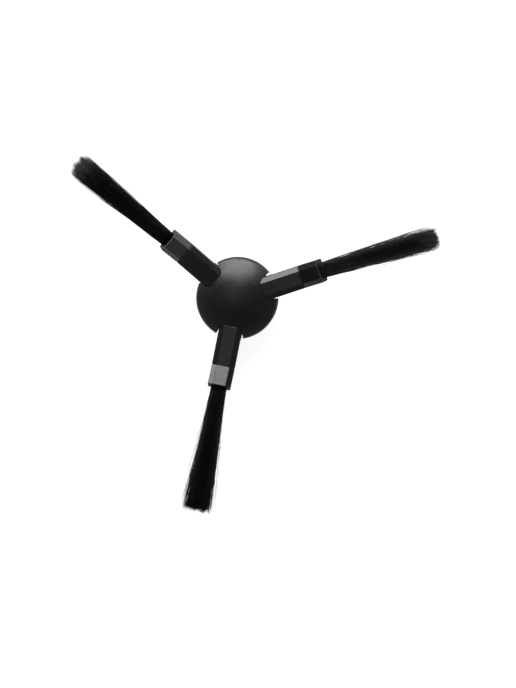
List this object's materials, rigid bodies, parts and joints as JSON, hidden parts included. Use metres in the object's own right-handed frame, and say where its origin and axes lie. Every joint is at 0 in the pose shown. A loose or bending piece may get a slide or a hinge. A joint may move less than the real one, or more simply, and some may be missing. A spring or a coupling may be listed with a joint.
{
  "type": "robot vacuum side brush",
  "caption": "Round domed hub with soft radial arms, each ending in a fanned bristle tuft; a square socket under the hub pushes onto a robot vacuum's side drive shaft.",
  "frame": {"origin": "on the spin axis, at the lower end of the drive boss", "axes": "+Z along the spin axis from the boss to the domed crown, -Y along one arm"},
  "size_m": [0.1383, 0.1209, 0.0344],
  "materials": {
    "cap_plastic": "satin black",
    "base_plastic": "matte black",
    "arm_rubber": "soft satin black",
    "bristle_nylon": "black nylon"
  },
  "bodies": {
    "root": {"hub_cap": "cap_plastic", "hub_base": "base_plastic", "arm_spider": "arm_rubber", "tuft_1": "bristle_nylon", "tuft_2": "bristle_nylon", "tuft_3": "bristle_nylon"}
  },
  "joints": []
}
